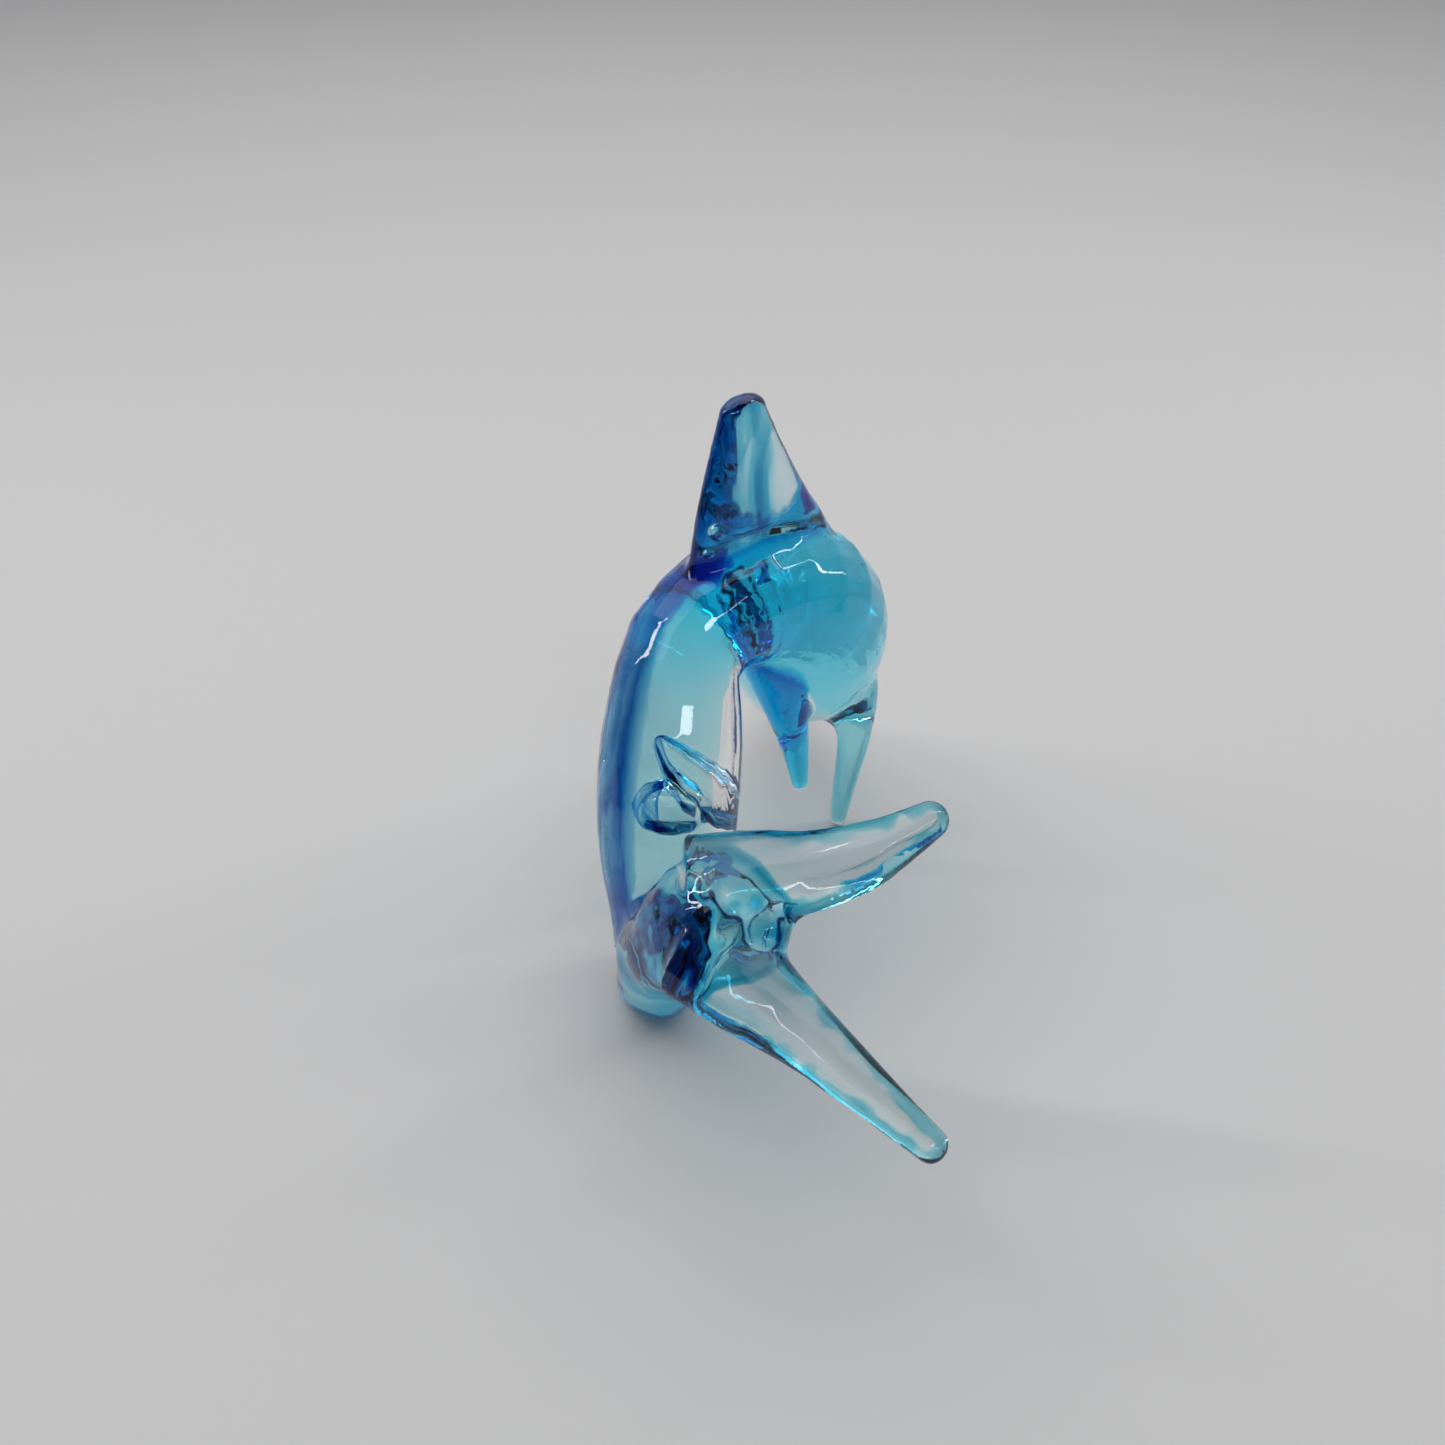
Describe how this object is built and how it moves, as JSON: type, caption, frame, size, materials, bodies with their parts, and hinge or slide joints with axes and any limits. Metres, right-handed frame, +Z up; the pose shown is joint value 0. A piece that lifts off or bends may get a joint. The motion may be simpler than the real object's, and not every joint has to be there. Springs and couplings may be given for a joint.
{
  "type": "cased glass dolphin figurine",
  "caption": "Hot-worked glass dolphin with a blue core in thick clear glass, leaping in an arch, standing on a polished foot, its beak and one fin.",
  "frame": {"origin": "middle of the figure's footprint box, on the table", "axes": "+Z up; +Y along the body from the flukes towards the beak; +X towards the dolphin's right side"},
  "size_m": [0.0705, 0.1923, 0.124],
  "materials": {
    "clear_glass": "gloss",
    "aqua_glass": "gloss",
    "cobalt_glass": "gloss"
  },
  "bodies": {
    "root": {"body_casing": "clear_glass", "body_core": "aqua_glass", "body_cobalt": "cobalt_glass", "tail_casing": "clear_glass", "tail_core": "aqua_glass", "dorsal_fin": "clear_glass", "dorsal_core": "cobalt_glass", "left_pectoral_fin": "clear_glass", "left_pectoral_core": "aqua_glass", "right_pectoral_fin": "clear_glass", "right_pectoral_core": "aqua_glass", "left_fluke": "clear_glass", "left_fluke_core": "aqua_glass", "right_fluke": "clear_glass", "right_fluke_core": "aqua_glass"}
  },
  "joints": []
}
